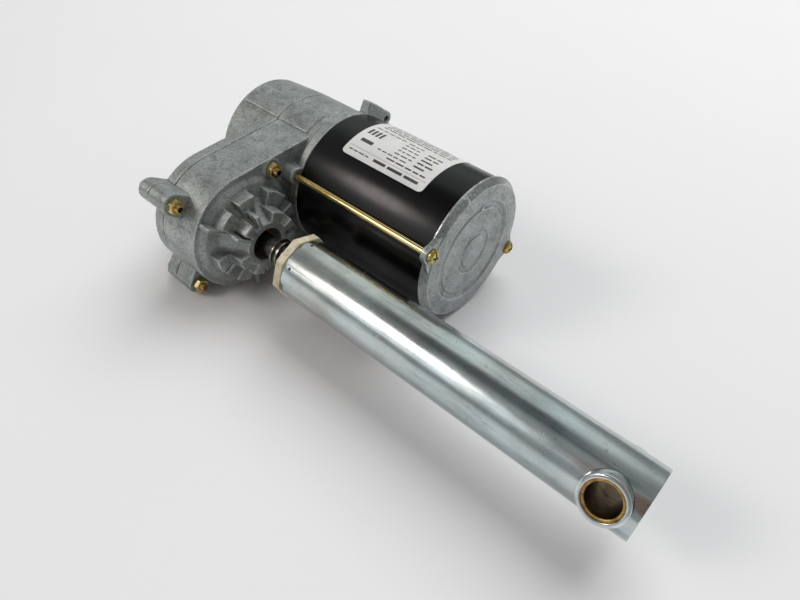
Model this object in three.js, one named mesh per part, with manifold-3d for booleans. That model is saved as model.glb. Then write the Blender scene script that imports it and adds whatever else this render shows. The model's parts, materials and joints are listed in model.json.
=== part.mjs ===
// Linear actuator: an electric motor lying beside a drive tube, a two-stage spur gear case joining them,
// a lead screw inside the tube and a bushed eye at each end.
// Millimetres. While a piece is being shaped, +X runs along the lead screw towards the free end of the tube,
// Y from the screw axis to the motor axis, and the screw axis is the X axis. At the end the whole actuator is
// rolled about X until it lies on its motor and on one ear of the gear case, and is set down on Z = 0.
import * as THREE from "three";
import { mergeVertices } from "three/addons/utils/BufferGeometryUtils.js";
import Module from "manifold-3d";

// ---- driving dimensions ----
const CENTRES = 79.9; // screw axis to motor axis
const LIE_ANGLE = 3.97; // degrees, roll about X when the actuator lies on a table
const PIN_ANGLE = 149; // degrees from +Y: axis of both end eyes and plane of the through bolts

const TUBE_R = 19.05; // 1.5 in tube
const TUBE_IN_R = 16.45;
const TUBE_LEN = 223.3;
const NUT_FLANGE = 5.5;
const NUT_CORNER_R = 20.9;
const NUT_LEN = 32.5;
const SCREW_R = 9.4;
const NUT_BORE_R = 9.65;
const SCREW_THREAD_START = -22.2;
const SCREW_END = 180;
const JOURNAL_R = 6.35;

const SLEEVE_X = 207.1;
const SLEEVE_R = 12.3;
const SLEEVE_IN_R = 9.85;
const SLEEVE_HALF = 21.6;
const BUSH_IN_R = 8.3;

const PARTING_X = -84.1;
const REAR_X = -92.5;
const FACE_X = -53.3;
const CASE_R = 40.2; // half height of the gear case and radius of its screw end
const BELL_R = 45.0;
const CUP_R = 43.2;
const CUP_X = -123.7;
const BOSS_X = -33.3;
const BOSS_BORE_R = 11;
const WALL_X = -57;

const SHELL_R = 46.4;
const SHELL_IN_R = 44.9;
const SHELL_X0 = -43.8;
const SHELL_X1 = 61.2;
const CAP_R = 47.9;
const THROUGH_R = 49; // pitch radius of the through bolts
const ROD_R = 2.3;

const EAR_Y = 35.1;
const EAR_Z = 32.5;
const EAR_R = 7;
const EAR_FACE_X = -68.7;

// gears: module and teeth of each
const M1 = 1.0;
const Z_ROTOR = 12;
const Z_IDLER = 64;
const M2 = 1.25;
const Z_PINION = 14;
const Z_SCREW = 54;
const IDLER = [42.22, -4.9];

const wasm = await Module();
wasm.setup();
const rad = (d) => (d * Math.PI) / 180;
const DETAIL = 0.5; // share of the full number of facets round a turned piece
const facets = (n) => Math.max(12, 4 * Math.round((n * DETAIL) / 4));

// ---- helpers: every shape starts as one of three's geometries and becomes a closed solid ----
function solid(geometry) {
  const g = geometry.clone();
  g.deleteAttribute("normal");
  g.deleteAttribute("uv");
  const merged = mergeVertices(g, 1e-4);
  const index = merged.index.array;
  const tri = [];
  for (let i = 0; i < index.length; i += 3) {
    const [a, b, c] = [index[i], index[i + 1], index[i + 2]];
    if (a !== b && b !== c && a !== c) tri.push(a, b, c);
  }
  const build = (t) =>
    new wasm.Manifold(
      new wasm.Mesh({
        numProp: 3,
        vertProperties: new Float32Array(merged.attributes.position.array),
        triVerts: new Uint32Array(t),
      }),
    );
  let made = build(tri);
  if (made.volume() < 0) {
    for (let i = 0; i < tri.length; i += 3)
      [tri[i + 1], tri[i + 2]] = [tri[i + 2], tri[i + 1]];
    made = build(tri);
  }
  return made;
}

// Turned piece about the line through (y, z) along X. profile is a list of [radius, x]; closed unless it ends on the axis.
function turned(profile, y = 0, z = 0, segments = 48) {
  const points = profile.map(([r, x]) => new THREE.Vector2(r, x));
  if (profile[0][0] > 0 || profile[profile.length - 1][0] > 0)
    points.push(points[0].clone());
  const g = new THREE.LatheGeometry(points, facets(segments));
  g.rotateZ(-Math.PI / 2);
  g.translate(0, y, z);
  return solid(g);
}
const rod = (r, x0, x1, y = 0, z = 0, n = 32) =>
  turned([[0, x0], [r, x0], [r, x1], [0, x1]], y, z, n);
const ring = (ri, ro, x0, x1, y = 0, z = 0, n = 48) =>
  turned([[ri, x0], [ro, x0], [ro, x1], [ri, x1]], y, z, n);

// Plate: a shape drawn in the YZ plane, extruded from x0 to x1.
const TO_X = new THREE.Matrix4().makeBasis(
  new THREE.Vector3(0, 1, 0),
  new THREE.Vector3(0, 0, 1),
  new THREE.Vector3(1, 0, 0),
);
function plate(shape, x0, x1, curveSegments = 24) {
  const g = new THREE.ExtrudeGeometry(shape, {
    depth: x1 - x0,
    bevelEnabled: false,
    curveSegments,
  });
  g.applyMatrix4(TO_X);
  g.translate(x0, 0, 0);
  return solid(g);
}
function polygon(points) {
  const s = new THREE.Shape();
  points.forEach(([y, z], i) => (i ? s.lineTo(y, z) : s.moveTo(y, z)));
  s.closePath();
  return s;
}
const polar = (r, deg, y = 0, z = 0) => [
  y + r * Math.cos(rad(deg)),
  z + r * Math.sin(rad(deg)),
];
function sector(r0, r1, a0, a1, y = 0, z = 0, steps = 4) {
  const p = [];
  for (let i = 0; i <= steps; i++)
    p.push(polar(r1, a0 + ((a1 - a0) * i) / steps, y, z));
  for (let i = steps; i >= 0; i--)
    p.push(polar(r0, a0 + ((a1 - a0) * i) / steps, y, z));
  return polygon(p);
}
// Bar of the given width from radius r0 to r1 at one angle.
function spoke(r0, r1, deg, width, y = 0, z = 0) {
  const [c, s] = [Math.cos(rad(deg)), Math.sin(rad(deg))];
  const w = width / 2;
  return polygon([
    [y + r0 * c + w * s, z + r0 * s - w * c],
    [y + r1 * c + w * s, z + r1 * s - w * c],
    [y + r1 * c - w * s, z + r1 * s + w * c],
    [y + r0 * c - w * s, z + r0 * s + w * c],
  ]);
}
// Slot-shaped plate: from the screw axis to the motor axis, half height r.
function stadium(r, y1 = CENTRES) {
  const s = new THREE.Shape();
  s.moveTo(0, -r);
  s.lineTo(y1, -r);
  s.absarc(y1, 0, r, -Math.PI / 2, Math.PI / 2, false);
  s.lineTo(0, r);
  s.absarc(0, 0, r, Math.PI / 2, (3 * Math.PI) / 2, false);
  return s;
}
// Ear for a bolt: a round pad blended by straight sides into the casting behind it.
function ear(y, z, r, x0, x1, towardY, towardZ, spread = 1.25) {
  const dy = towardY - y,
    dz = towardZ - z,
    l = Math.hypot(dy, dz),
    uy = dy / l,
    uz = dz / l;
  const wide = r * spread;
  const web = polygon([
    [y - uz * r, z + uy * r],
    [towardY - uz * wide, towardZ + uy * wide],
    [towardY + uz * wide, towardZ - uy * wide],
    [y + uz * r, z - uy * r],
  ]);
  return rod(r, x0, x1, y, z, 28).add(plate(web, x0, x1));
}
function hexagon(flats, turn = 0, y = 0, z = 0) {
  const r = flats / 2 / Math.cos(Math.PI / 6);
  return polygon(
    [0, 1, 2, 3, 4, 5].map((i) => polar(r, turn + i * 60, y, z)),
  );
}
// Piece turned about a line in the YZ plane at the given angle, through the point x on the screw axis.
function crossTurned(profile, x, deg, segments = 40) {
  const points = profile.map(([r, s]) => new THREE.Vector2(r, s));
  if (profile[0][0] > 0 || profile[profile.length - 1][0] > 0)
    points.push(points[0].clone());
  const g = new THREE.LatheGeometry(points, facets(segments));
  g.rotateX(rad(deg)); // the lathe's own axis, +Y, turned in the YZ plane
  g.translate(x, 0, 0);
  return solid(g);
}
const crossRod = (r, s0, s1, x, deg, n = 40) =>
  crossTurned([[0, s0], [r, s0], [r, s1], [0, s1]], x, deg, n);

// Involute spur gear, with a tooth centred at the angle phase.
function gearShape(module, teeth, phase, y, z, flankPoints) {
  const rp = (module * teeth) / 2,
    rb = rp * Math.cos(rad(20)),
    tip = rp + 0.8 * module,
    root = rp - 1.3 * module;
  const inv = (a) => Math.tan(a) - a;
  const half = (r) => {
    const rr = Math.max(r, rb);
    return (
      Math.PI / (2 * teeth) +
      inv(rad(20)) -
      inv(Math.acos(Math.min(1, rb / rr))) -
      (0.045 * module) / rp
    );
  };
  const radii = [];
  for (let i = 0; i < flankPoints; i++)
    radii.push(root + ((tip - root) * i) / (flankPoints - 1));
  const p = [];
  for (let t = 0; t < teeth; t++) {
    const c = rad(phase) + (2 * Math.PI * t) / teeth;
    for (const r of radii)
      p.push([y + r * Math.cos(c - half(r)), z + r * Math.sin(c - half(r))]);
    for (const r of [...radii].reverse())
      p.push([y + r * Math.cos(c + half(r)), z + r * Math.sin(c + half(r))]);
  }
  return polygon(p);
}

// ---- the object ----
const actuator = new THREE.Group();
actuator.name = "linear_actuator";
const pieces = [];
function piece(name, body, colour, roughness, metalness) {
  pieces.push({ name, body, colour, roughness, metalness });
}
const STEEL = ["#b9bcc0", 0.32, 1.0];
const BRIGHT = ["#c9ccd0", 0.16, 1.0];
const CAST = ["#9a9d9d", 0.55, 0.85];
const BRONZE = ["#9c7740", 0.4, 1.0];
const YELLOW_ZINC = ["#b39a4a", 0.35, 1.0];

const [MY, MZ] = [CENTRES, 0];
const [IY, IZ] = IDLER;

// Bolts that hold the two halves of the gear case together: [y, z, ear radius, nut face x, flats turn]
const CASE_BOLTS = [
  [-EAR_Y, EAR_Z, EAR_R, EAR_FACE_X, 12],
  [-EAR_Y, -EAR_Z, EAR_R, EAR_FACE_X, 40],
  [26, 33.4, 6.4, FACE_X + 0.7, 22],
  [20, -37, 6, FACE_X + 0.7, 5],
  [...polar(51, -42, MY, MZ), 6.5, EAR_FACE_X, 0],
];
const BOLT_HOLE_R = 2.55;
const BOLT_R = 2.3;

// -- front housing: gear case front, screw boss and motor bell in one casting
let housing = plate(stadium(CASE_R), PARTING_X, FACE_X, 18);
housing = housing.add(rod(BELL_R, PARTING_X, SHELL_X0 - 0.1, MY, MZ, 96));
housing = housing.add(
  turned(
    [[40, -52], [BELL_R - 1, -52], [46.7, -49.6], [46.7, SHELL_X0 - 0.1], [40, SHELL_X0 - 0.1]],
    MY,
    MZ,
    96,
  ),
);
// stepped dome that carries the screw boss
housing = housing.add(
  turned(
    [
      [0, -56],
      [37, -56],
      [37, -53.3],
      [33.5, -51],
      [25, -49.5],
      [20.5, -44],
      [17, -38],
      [15, BOSS_X],
      [0, BOSS_X],
    ],
    0,
    0,
    64,
  ),
);
// castellations round the boss: upper tier, then lower tier, then long thin ribs
const UPPER = [[112, 134], [40, 70], [178, 202], [228, 252], [276, 300], [326, 350], [4, 22]];
const LOWER = [[117, 140], [84, 106], [34, 64], [178, 198], [226, 248], [272, 294], [318, 340], [2, 18]];
for (const [a, b] of UPPER)
  housing = housing.add(plate(sector(13, 21.8, a, b), -50, BOSS_X + 0.4));
for (const [a, b] of LOWER)
  housing = housing.add(plate(sector(18.5, 31.2, a, b), -54, -42.6));
housing = housing.add(plate(spoke(13, 26, 142, 2.2), -52, BOSS_X + 0.2));
housing = housing.add(plate(spoke(24, 39, 143, 2.6), -54, -44.5));
housing = housing.add(plate(spoke(13, 24, 99, 2.4), -52, BOSS_X + 0.2));
housing = housing.add(plate(spoke(22, 30, 206, 2.4), -54, -43.5));
housing = housing.add(plate(spoke(22, 39, 262, 2.4), -54, -45));
// raised pad along the top of the bell
housing = housing.add(plate(sector(43, 46, 93, 116, MY, MZ, 6), PARTING_X, -57.5));
// ears
for (const [i, [y, z, r, x]] of CASE_BOLTS.entries()) {
  if (i === 2 || i === 3) housing = housing.add(rod(r, PARTING_X, x, y, z, 28));
  else if (i < 2)
    housing = housing.add(ear(y, z, r, PARTING_X, x, y * 0.72, z * 0.72));
  else
    housing = housing.add(
      ear(y, z, r, PARTING_X, x, MY + (y - MY) * 0.78, MZ + (z - MZ) * 0.78),
    );
}
for (const a of [PIN_ANGLE, PIN_ANGLE - 180]) {
  const [y, z] = polar(THROUGH_R, a, MY, MZ);
  const [ty, tz] = polar(38, a, MY, MZ);
  housing = housing.add(ear(y, z, 5.4, -64, SHELL_X0 - 0.3, ty, tz, 1.5));
}
// tapped lug behind the motor
{
  const [ly, lz] = polar(50.6, 34, MY, MZ);
  housing = housing.add(
    plate(sector(43.5, 54.2, 36, 60, MY, MZ, 5), -51.5, SHELL_X0 - 0.6),
  );
  housing = housing.add(ear(ly, lz, 5.2, -51.5, SHELL_X0 - 0.6, ...polar(43, 40, MY, MZ), 1.4));
}
// hollows
let gearRoom = plate(stadium(CASE_R - 3.2), PARTING_X - 1, WALL_X, 14).add(
  rod(BELL_R - 3.4, PARTING_X - 1, WALL_X, MY, MZ, 64),
);
gearRoom = gearRoom.subtract(rod(6.4, -90, -50, 26, 33.4, 28)).subtract(rod(6, -90, -50, 20, -37, 28));
gearRoom = gearRoom
  .subtract(ring(4.2, 7.5, -61, -50, IY, IZ, 28)) // boss of the intermediate shaft
  .subtract(rod(4.2, -61, -50, IY, IZ, 28));
// clearance for the gears beside the bolt columns
gearRoom = gearRoom
  .add(rod(33.6, PARTING_X - 1, -72.9, IY, IZ, 64))
  .add(rod(36.2, PARTING_X - 1, -61.5, 0, 0, 64));
housing = housing.subtract(gearRoom);
housing = housing.subtract(rod(5.05, -62, -55, IY, IZ, 32)); // seat of the front intermediate bush
housing = housing.subtract(rod(BOSS_BORE_R, -60, -30, 0, 0, 48));
housing = housing.subtract(
  turned(
    [[17.6, -53.4], [42, -53.4], [42, -49], [43.4, -47.5], [43.4, -40], [0, -40], [0, -46.5], [17.6, -46.5]],
    MY,
    MZ,
    72,
  ),
);
housing = housing.subtract(rod(14.1, -55.9, -40, MY, MZ, 48));
housing = housing.subtract(rod(8.6, -60, -50, MY, MZ, 32));
for (const [y, z] of CASE_BOLTS)
  housing = housing.subtract(rod(BOLT_HOLE_R, -90, -40, y, z, 20));
for (const a of [PIN_ANGLE, PIN_ANGLE - 180]) {
  const [y, z] = polar(THROUGH_R, a, MY, MZ);
  housing = housing.subtract(rod(ROD_R + 0.12, -60, -40, y, z, 20));
}
{
  const [y, z] = polar(50.6, 34, MY, MZ);
  housing = housing.subtract(rod(2.1, -60, -40, y, z, 20));
}
piece("front_housing", housing, ...CAST);

// -- gasket between the halves
const GASKET = 0.5;
let gasket = plate(stadium(CASE_R - 0.3), PARTING_X - GASKET + 0.1, PARTING_X - 0.1, 18).add(
  rod(BELL_R - 0.3, PARTING_X - GASKET + 0.1, PARTING_X - 0.1, MY, MZ, 96),
);
gasket = gasket
  .subtract(
    plate(stadium(CASE_R - 3.2), -90, -80, 14)
      .add(rod(BELL_R - 3.4, -90, -80, MY, MZ, 64))
      .subtract(rod(6.4, -95, -75, 26, 33.4, 28)),
  )
  .subtract(rod(36.2, -90, -80, 0, 0, 64));
gasket = gasket.subtract(rod(33.6, -90, -80, IY, IZ, 64));
for (const [y, z] of CASE_BOLTS)
  gasket = gasket.subtract(rod(BOLT_HOLE_R, -90, -40, y, z, 20));
piece("gasket", gasket, "#4a4136", 0.9, 0);

// -- rear cover: gear case rear, rear eye and brake cup in one casting
const COVER_X = PARTING_X - GASKET;
let cover = plate(stadium(CASE_R), REAR_X, COVER_X, 18);
cover = cover.add(
  turned(
    [[0, CUP_X], [CUP_R - 0.8, CUP_X], [CUP_R, CUP_X + 0.8], [BELL_R, -93], [BELL_R, COVER_X], [0, COVER_X]],
    MY,
    MZ,
    96,
  ),
);
cover = cover.add(plate(sector(41, 46, 93, 116, MY, MZ, 6), -119, COVER_X));
for (const [i, [y, z, r]] of CASE_BOLTS.entries()) {
  const x0 = i < 2 ? REAR_X - 1.5 : REAR_X;
  if (i === 2 || i === 3) cover = cover.add(rod(r, x0, COVER_X, y, z, 28));
  else if (i < 2) cover = cover.add(ear(y, z, r, x0, COVER_X, y * 0.72, z * 0.72));
  else
    cover = cover.add(
      ear(y, z, r, x0, COVER_X, MY + (y - MY) * 0.78, MZ + (z - MZ) * 0.78),
    );
}
// rear eye
const EYE_X = -110.5;
const EYE_R = 13;
const EYE_HALF = 12;
cover = cover.add(turned([[0, -99.5], [14.5, -99.5], [17, REAR_X + 1], [0, REAR_X + 1]], 0, 0, 40));
cover = cover.add(crossRod(EYE_R, -EYE_HALF, EYE_HALF, EYE_X, PIN_ANGLE, 40));
{
  const [c, s] = [Math.cos(rad(PIN_ANGLE)), Math.sin(rad(PIN_ANGLE))];
  const half = 12.9;
  cover = cover.add(
    plate(
      polygon([
        [EYE_HALF * c - half * s, EYE_HALF * s + half * c],
        [EYE_HALF * c + half * s, EYE_HALF * s - half * c],
        [-EYE_HALF * c + half * s, -EYE_HALF * s - half * c],
        [-EYE_HALF * c - half * s, -EYE_HALF * s + half * c],
      ]),
      EYE_X,
      REAR_X + 1,
    ),
  );
}
cover = cover.subtract(crossRod(SLEEVE_IN_R, -30, 30, EYE_X, PIN_ANGLE, 40));
// inside of the gear side
const COVER_WALL = -89;
let coverRoom = plate(stadium(CASE_R - 3.2), COVER_WALL, COVER_X + 1, 14).add(
  rod(BELL_R - 3.4, COVER_WALL, COVER_X + 1, MY, MZ, 64),
);
coverRoom = coverRoom.subtract(rod(6.4, -95, -80, 26, 33.4, 28)).subtract(rod(6, -95, -80, 20, -37, 28));
coverRoom = coverRoom.add(rod(33.6, -85, COVER_X + 1, IY, IZ, 64));
coverRoom = coverRoom
  .subtract(rod(7.5, -95, -84.4, IY, IZ, 28))
  .subtract(rod(9, -95, -84.4, MY, MZ, 32));
cover = cover.subtract(coverRoom);
cover = cover.subtract(rod(5.05, -90.5, -84, IY, IZ, 32)); // rear intermediate bush
cover = cover.subtract(rod(11.05, -98, -80, 0, 0, 48)); // rear screw bearing
cover = cover.subtract(rod(6.6, -90.4, -80, MY, MZ, 32)); // shaft bush
cover = cover.subtract(rod(4.6, -100, -80, MY, MZ, 32));
// brake cup
let cupRoom = rod(40.1, CUP_X - 1, -93, MY, MZ, 72).subtract(rod(10, -95.5, -90, MY, MZ, 32));
const CUP_SCREWS = [30, 150, 270];
for (const a of CUP_SCREWS)
  cupRoom = cupRoom.subtract(rod(4.2, -121.2, -90, ...polar(37, a, MY, MZ), 20));
cover = cover.subtract(cupRoom);
cover = cover.subtract(rod(41.3, CUP_X - 1, -121.2, MY, MZ, 72));
for (const a of CUP_SCREWS)
  cover = cover.subtract(rod(1.75, -125, -108, ...polar(37, a, MY, MZ), 16));
// lead hole, facing away from the screw
const leadHole = (r, y0, y1, n = 28) => {
  const g = new THREE.CylinderGeometry(r, r, y1 - y0, n);
  g.translate(-107, (y0 + y1) / 2, 0);
  return solid(g);
};
cover = cover.subtract(leadHole(5.2, MY + 30, MY + 60));
for (const [y, z] of CASE_BOLTS)
  cover = cover.subtract(rod(BOLT_HOLE_R, -100, -80, y, z, 20));
piece("rear_cover", cover, ...CAST);

{
  // rear eye bushing, and the grommet in the lead hole
  const bushing = crossTurned(
    [[BUSH_IN_R, -12.1], [SLEEVE_IN_R - 0.12, -12.1], [SLEEVE_IN_R - 0.12, 12.1], [BUSH_IN_R, 12.1]],
    EYE_X,
    PIN_ANGLE,
  );
  piece("rear_bushing", bushing, ...BRONZE);
  const g = new THREE.LatheGeometry(
    [[2.6, 38.4], [7, 38.4], [7, 39.6], [5.05, 39.9], [5.05, 43.8], [7.2, 44], [6.6, 46.4], [2.6, 46.4], [2.6, 38.4]].map(
      ([r, s]) => new THREE.Vector2(r, s),
    ),
    16,
  );
  g.translate(-107, MY, 0);
  const wall = ring(39.75, 44.8, -116, -98, MY, MZ, 72).subtract(leadHole(5.12, MY + 30, MY + 60));
  piece("lead_grommet", solid(g).subtract(wall), "#1b1b1c", 0.8, 0);
}

// -- case bolts and nuts
for (const [i, [y, z, , nutX, turn]] of CASE_BOLTS.entries()) {
  const headX = (i < 2 ? REAR_X - 1.5 : REAR_X) - 0.05;
  const bolt = rod(BOLT_R, headX - 1, nutX + 6.6, y, z, 20).add(
    plate(hexagon(8, turn, y, z), headX - 3.6, headX),
  );
  piece("case_bolt_" + (i + 1), bolt, ...YELLOW_ZINC);
  let nut = plate(hexagon(8.8, turn, y, z), nutX + 0.05, nutX + 4.3);
  nut = nut.subtract(rod(BOLT_R + 0.14, nutX - 1, nutX + 6, y, z, 20));
  piece("case_nut_" + (i + 1), nut, ...YELLOW_ZINC);
}

// -- motor
piece("motor_shell", ring(SHELL_IN_R, SHELL_R, SHELL_X0, SHELL_X1, MY, MZ, 96), "#0c0c0e", 0.22, 0.1);
let cap = turned(
  [
    [0, 63.2], [36, 63.2], [41.5, 61.2], [41.5, 55], [44.6, 55], [44.6, 61.3], [CAP_R, 61.3], [CAP_R, 62.6], [44.6, 66.4],
    [34.6, 66.4], [33, 65.1], [30.4, 65.1], [29.2, 66], [15.6, 66], [15, 65.3], [11, 65.3], [10.4, 66], [0, 66],
  ],
  MY,
  MZ,
  96,
);
cap = cap.add(ring(11.3, 14.6, 54, 64, MY, MZ, 48));
for (const a of [PIN_ANGLE, PIN_ANGLE - 180]) {
  const [y, z] = polar(THROUGH_R, a, MY, MZ);
  cap = cap.add(rod(5.6, 61.5, 65.7, y, z, 28));
  cap = cap.add(
    plate(
      polygon([
        polar(46.3, a - 14, MY, MZ), polar(50.6, a - 6.1, MY, MZ), polar(50.6, a + 6.1, MY, MZ),
        polar(46.3, a + 14, MY, MZ), polar(36, a + 14, MY, MZ), polar(36, a - 14, MY, MZ),
      ]),
      61.5,
      65.7,
    ),
  );
}
for (const a of [PIN_ANGLE, PIN_ANGLE - 180])
  cap = cap
    .subtract(rod(ROD_R + 0.12, 55, 75, ...polar(THROUGH_R, a, MY, MZ), 20))
    .subtract(rod(5.4, 65.7, 75, ...polar(THROUGH_R, a, MY, MZ), 24));
cap = cap.subtract(rod(11.3, 50, 63.4, MY, MZ, 48));
piece("motor_end_cap", cap, ...CAST);

for (const [i, a] of [PIN_ANGLE, PIN_ANGLE - 180].entries()) {
  const [y, z] = polar(THROUGH_R, a, MY, MZ);
  const bolt = rod(ROD_R, -58, 66.5, y, z, 20).add(
    turned([[0, 65.8], [4.5, 65.8], [4.5, 67.3], [3.5, 68.7], [0, 69.1]], y, z, 24),
  );
  piece("through_bolt_" + (i + 1), bolt.subtract(plate(spoke(-4, 4, 70, 0.9, y, z), 68.1, 71)), ...YELLOW_ZINC);
}
piece("rating_label", plate(sector(SHELL_R + 0.06, SHELL_R + 0.3, 52, 115.5, MY, MZ, 24), -25.5, 38.6), "#d9dad6", 0.5, 0);

piece("stator_core", ring(25.3, 44.6, -14, 38, MY, MZ, 64), "#5a5c60", 0.5, 0.9);
piece("coil_front", turned([[28, -33], [41, -33], [42.5, -30], [42.5, -14.2], [27, -14.2], [27, -31]], MY, MZ, 40), "#a8552a", 0.5, 0.6);
piece("coil_rear", turned([[27, 38.2], [42.5, 38.2], [41, 52.5], [28, 52.5]], MY, MZ, 40), "#a8552a", 0.5, 0.6);
piece("rotor_core", turned([[6.15, -20], [22, -20], [22, -14], [24.7, -14], [24.7, 38], [22, 38], [22, 44], [6.15, 44]], MY, MZ, 48), "#77797d", 0.45, 0.9);
const toRotorFromIdler = (Math.atan2(IZ - MZ, IY - MY) * 180) / Math.PI;
const toIdlerFromScrew = (Math.atan2(IZ, IY) * 180) / Math.PI;
let rotorShaft = turned(
  [
    [0, -120.5], [3.9, -120.5], [3.9, -90.4], [4.4, -90.4], [4.4, -81], [4.7, -81], [4.7, -72], [5.9, -72], [5.9, -46.5],
    [7.5, -46.5], [7.5, -21], [6, -21], [6, 44.5], [7, 44.5], [7, 52], [3.95, 52], [3.95, 62], [0, 62],
  ],
  MY,
  MZ,
  32,
).add(plate(gearShape(M1, Z_ROTOR, toRotorFromIdler, MY, MZ, 4), -81.5, -73));
piece("rotor_shaft", rotorShaft, ...STEEL);
piece("motor_bearing_front", ring(6, 13.85, -55.7, -47.8, MY, MZ, 40), ...STEEL);
piece("motor_bearing_rear", ring(4.05, 11.05, 53, 61.4, MY, MZ, 40), ...STEEL);
piece("wave_washer", ring(8.6, 11, 61.7, 63.1, MY, MZ, 32), ...STEEL);
piece("shaft_bush", ring(4.5, 6.5, -90.3, -84.6, MY, MZ, 32), ...BRONZE);

// brake in the cup
piece("brake_disc", turned([[4.0, -104.5], [9, -104.5], [9, -101], [30, -101], [30, -98], [4.0, -98]], MY, MZ, 40), "#6d665c", 0.8, 0.3);
piece("brake_coil", turned([[10.5, -119.5], [31, -119.5], [31, -102], [20, -102], [20, -105.5], [10.5, -105.5]], MY, MZ, 40), "#3a3c40", 0.5, 0.7);
let cupCover = rod(41, -123.2, -121.35, MY, MZ, 72);
for (const a of CUP_SCREWS)
  cupCover = cupCover.subtract(rod(2, -125, -118, ...polar(37, a, MY, MZ), 16));
piece("cup_cover", cupCover, "#8f9294", 0.45, 0.9);
for (const [i, a] of CUP_SCREWS.entries()) {
  const [y, z] = polar(37, a, MY, MZ);
  piece("cup_screw_" + (i + 1), rod(1.6, -124, -110, y, z, 16).add(turned([[0, -125], [2.2, -125], [3.3, -124.2], [3.3, -123.25], [0, -123.25]], y, z, 20)), ...STEEL);
}

// -- gear train
let idlerShaft = turned([[0, -90.2], [3.6, -90.2], [3.6, -81.2], [5.5, -81.2], [5.5, -61.7], [3.6, -61.7], [3.6, -55.6], [0, -55.6]], IY, IZ, 28);
idlerShaft = idlerShaft.add(
  plate(gearShape(M2, Z_PINION, toIdlerFromScrew + 180 + 180 / Z_PINION, IY, IZ, 4), -72, -62.5),
);
piece("intermediate_shaft", idlerShaft, ...STEEL);
piece(
  "intermediate_gear",
  plate(gearShape(M1, Z_IDLER, toRotorFromIdler + 180 + 180 / Z_IDLER, IY, IZ, 2), -80.8, -73.6).subtract(rod(5.62, -85, -70, IY, IZ, 28)),
  "#8a6a3a",
  0.7,
  0,
);
piece("intermediate_bush_front", ring(3.75, 4.95, -60.9, -55.3, IY, IZ, 28), ...BRONZE);
piece("intermediate_bush_rear", ring(3.75, 4.95, -90.3, -84.5, IY, IZ, 28), ...BRONZE);

// -- lead screw
const leadScrew = turned(
  [
    [0, -97.6], [4.9, -97.6], [4.9, -88.9], [7.5, -88.9], [7.5, -58.5], [JOURNAL_R, -58.5], [JOURNAL_R, SCREW_THREAD_START - 0.9],
    [SCREW_R - 0.8, SCREW_THREAD_START], [SCREW_R, SCREW_THREAD_START + 1], [SCREW_R, SCREW_END - 4.2], [6, SCREW_END - 4.2], [6, SCREW_END], [0, SCREW_END],
  ],
  0,
  0,
  40,
).subtract(plate(polygon([[-1.6, 5.6], [1.6, 5.6], [1.6, 8], [-1.6, 8]]), -73.2, -61.4));
piece("lead_screw", leadScrew, "#8c8a85", 0.35, 1);
piece("screw_stop", ring(6.12, 14.6, SCREW_END - 4, SCREW_END - 0.4, 0, 0, 40), ...STEEL);
const SCREW_HUB = [-73.2, -61.6];
let screwGear = plate(gearShape(M2, Z_SCREW, toIdlerFromScrew, 0, 0, 2), -71.8, -62.8)
  .add(rod(14, SCREW_HUB[0], SCREW_HUB[1], 0, 0, 32))
  .subtract(rod(7.62, -80, -55, 0, 0, 40))
  .subtract(plate(polygon([[-1.7, 5], [1.7, 5], [1.7, 9.3], [-1.7, 9.3]]), -80, -55));
for (let k = 0; k < 6; k++)
  screwGear = screwGear.subtract(rod(4.5, -80, -55, ...polar(22.5, 30 + k * 60), 20));
piece("screw_gear", screwGear, ...STEEL);
piece("gear_key", plate(polygon([[-1.5, 5.75], [1.5, 5.75], [1.5, 9.15], [-1.5, 9.15]]), -73, -61.8), ...STEEL);
piece("thrust_bearing", ring(7.7, 15, -61.2, -57.3, 0, 0, 40), ...STEEL);
piece("rear_bearing", ring(5.02, 10.85, -97.7, -89.4, 0, 0, 40), ...STEEL);
piece("boss_bush", ring(JOURNAL_R + 0.1, BOSS_BORE_R - 0.12, -56.8, -43.5, 0, 0, 48), ...BRONZE);

// -- drive nut and tube
let nut = plate(
  polygon([0, 1, 2, 3, 4, 5, 6, 7].map((i) => polar(NUT_CORNER_R, 137 + i * 45))),
  -NUT_FLANGE,
  -0.1,
).add(rod(TUBE_IN_R - 0.12, -1, NUT_LEN, 0, 0, 48));
nut = nut.subtract(rod(NUT_BORE_R, -10, NUT_LEN + 5, 0, 0, 40));
let tube = ring(TUBE_IN_R, TUBE_R, 0, TUBE_LEN, 0, 0, 72);
tube = tube.subtract(crossRod(SLEEVE_R + 0.12, -30, 30, SLEEVE_X, PIN_ANGLE, 48));
const PINS = [[4.4, 137], [4.4, 77]];
const PIN_R = 0.9;
for (const [x, a] of PINS) {
  nut = nut.subtract(crossRod(PIN_R + 0.06, 13.2, 20, x, a, 12));
  tube = tube.subtract(crossRod(PIN_R + 0.06, 10, 25, x, a, 12));
}
piece("drive_nut", nut, "#d8cfa6", 0.5, 0);
piece("drive_tube", tube, ...BRIGHT);
for (const [i, [x, a]] of PINS.entries())
  piece("nut_pin_" + (i + 1), crossRod(PIN_R, 13.3, 18.9, x, a, 12), ...STEEL);

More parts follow.
